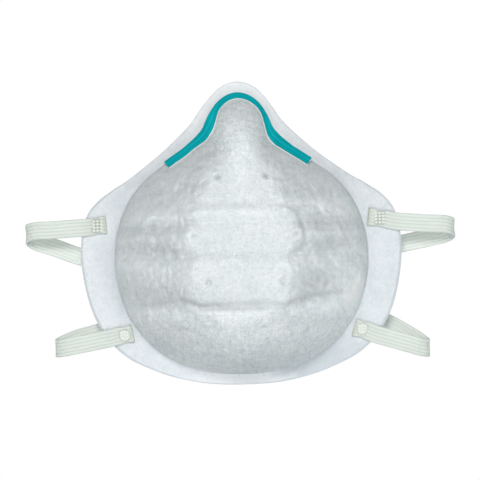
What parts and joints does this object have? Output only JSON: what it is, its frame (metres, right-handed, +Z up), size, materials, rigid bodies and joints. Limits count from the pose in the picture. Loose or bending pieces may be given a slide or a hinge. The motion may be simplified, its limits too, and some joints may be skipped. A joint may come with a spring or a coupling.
{
  "type": "dust mask",
  "caption": "Moulded cup respirator with a soft sealing flange, a bendable nose clip over a foam cushion, and elastic headbands welded to the flange.",
  "frame": {"origin": "middle of the face opening, in the plane the cheeks seal against", "axes": "-Y is the front of the mask, +Y is towards the face, +Z is up towards the nose, +X is the wearer's left"},
  "size_m": [0.1926, 0.0801, 0.1358],
  "materials": {
    "cover": "grey-white needled felt, moulded",
    "flange": "white point-bonded web, smooth",
    "filter": "melt-blown web",
    "stiffener": "moulded resin-bonded fibre",
    "liner": "soft smooth web",
    "clip": "teal paint, satin",
    "tape": "pressure-sensitive adhesive",
    "foam": "open-cell soft foam",
    "band": "ribbed knitted elastic",
    "weld": "fused, slightly glossy"
  },
  "bodies": {
    "mask_body": {"outer_shell": "cover", "flange_web": "flange", "filter_web": "filter", "stiffener_shell": "stiffener", "inner_liner": "liner", "nose_clip_crown": "clip", "clip_tape_crown": "tape", "nose_foam": "foam", "foam_tape": "tape", "upper_band_left_end": "band", "upper_band_right_end": "band", "lower_band_left_end": "band", "lower_band_right_end": "band", "upper_left_weld": "weld", "upper_right_weld": "weld", "lower_left_weld": "weld", "lower_right_weld": "weld"},
    "left_clip_arm": {"nose_clip_left_arm": "clip", "clip_tape_left": "tape"},
    "right_clip_arm": {"nose_clip_right_arm": "clip", "clip_tape_right": "tape"},
    "upper_band_sides": {"upper_band_left_side": "band", "upper_band_right_side": "band"},
    "upper_band_rear": {"upper_band_back": "band"},
    "lower_band_sides": {"lower_band_left_side": "band", "lower_band_right_side": "band"},
    "lower_band_rear": {"lower_band_back": "band"}
  },
  "joints": [
    {"name": "left_clip_bend", "type": "hinge", "parent": "mask_body", "child": "left_clip_arm", "pos_m": [0, -0.0175, 0.069], "axis": [0, 0.64, 0.7684], "range_deg": [0, 10], "deforming": ["outer_shell", "flange_web", "filter_web", "inner_liner", "nose_foam", "foam_tape"]},
    {"name": "right_clip_bend", "type": "hinge", "parent": "mask_body", "child": "right_clip_arm", "pos_m": [0, -0.0175, 0.069], "axis": [0, -0.64, -0.7684], "range_deg": [0, 10], "deforming": ["outer_shell", "flange_web", "filter_web", "inner_liner", "nose_foam", "foam_tape"]},
    {"name": "upper_band_swing", "type": "hinge", "parent": "mask_body", "child": "upper_band_sides", "pos_m": [0, -0.0009, 0.0096], "axis": [1, 0, 0], "range_deg": [-15, 110]},
    {"name": "upper_band_stretch", "type": "slide", "parent": "upper_band_sides", "child": "upper_band_rear", "axis": [0, 1, 0], "range_m": [0, 0.15], "stiffness_N_per_m": 12},
    {"name": "lower_band_swing", "type": "hinge", "parent": "mask_body", "child": "lower_band_sides", "pos_m": [0, -0.0018, -0.0415], "axis": [1, 0, 0], "range_deg": [-110, 10]},
    {"name": "lower_band_stretch", "type": "slide", "parent": "lower_band_sides", "child": "lower_band_rear", "axis": [0, 1, 0], "range_m": [0, 0.13], "stiffness_N_per_m": 12}
  ]
}
